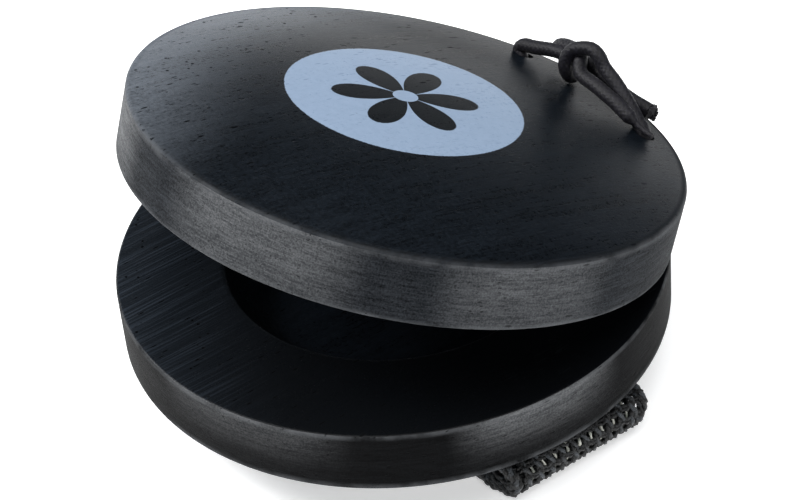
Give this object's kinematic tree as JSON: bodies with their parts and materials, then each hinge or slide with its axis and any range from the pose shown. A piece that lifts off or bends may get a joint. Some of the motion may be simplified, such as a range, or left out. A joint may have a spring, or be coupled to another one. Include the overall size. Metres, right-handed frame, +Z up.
{
  "type": "castanets",
  "caption": "Finger castanet: round wooden shells with hollowed faces, hinged at the rear by a knotted elastic cord, with an elastic finger strap underneath.",
  "frame": {"origin": "on the ground under the middle of the lower shell, on the flat underside of the strap", "axes": "+Z up along the lower shell's axis, +Y towards the hinge, mouth towards -Y"},
  "size_m": [0.057, 0.0587, 0.0359],
  "materials": {
    "stained_wood": "satin black stain with open pores",
    "strap_elastic": "woven elastic band with pale rubber showing between the yarns",
    "staple_wire": "plain zinc-coated wire",
    "cord_braid": "fine braided cover",
    "cord_rubber": "matte rubber core"
  },
  "bodies": {
    "lower": {"lower_shell": "stained_wood", "finger_strap": "strap_elastic", "strap_staples": "staple_wire", "cord_cover_under_lower": "cord_braid", "cord_core_under_lower": "cord_rubber"},
    "upper": {"upper_shell": "stained_wood", "cord_knot": "cord_braid", "cord_cover_upper_left": "cord_braid", "cord_core_upper_left": "cord_rubber", "cord_cover_upper_right": "cord_braid", "cord_core_upper_right": "cord_rubber", "cord_cover_long_tail": "cord_braid", "cord_core_long_tail": "cord_rubber", "cord_cover_short_tail": "cord_braid", "cord_core_short_tail": "cord_rubber"}
  },
  "joints": [
    {"name": "shell_hinge", "type": "hinge", "parent": "lower", "child": "upper", "pos_m": [0, 0.0224, 0.01295], "axis": [-1, 0, 0], "range_deg": [-18.9, 0], "stiffness_Nm_per_rad": 0.012, "springref_deg": 34.38}
  ]
}
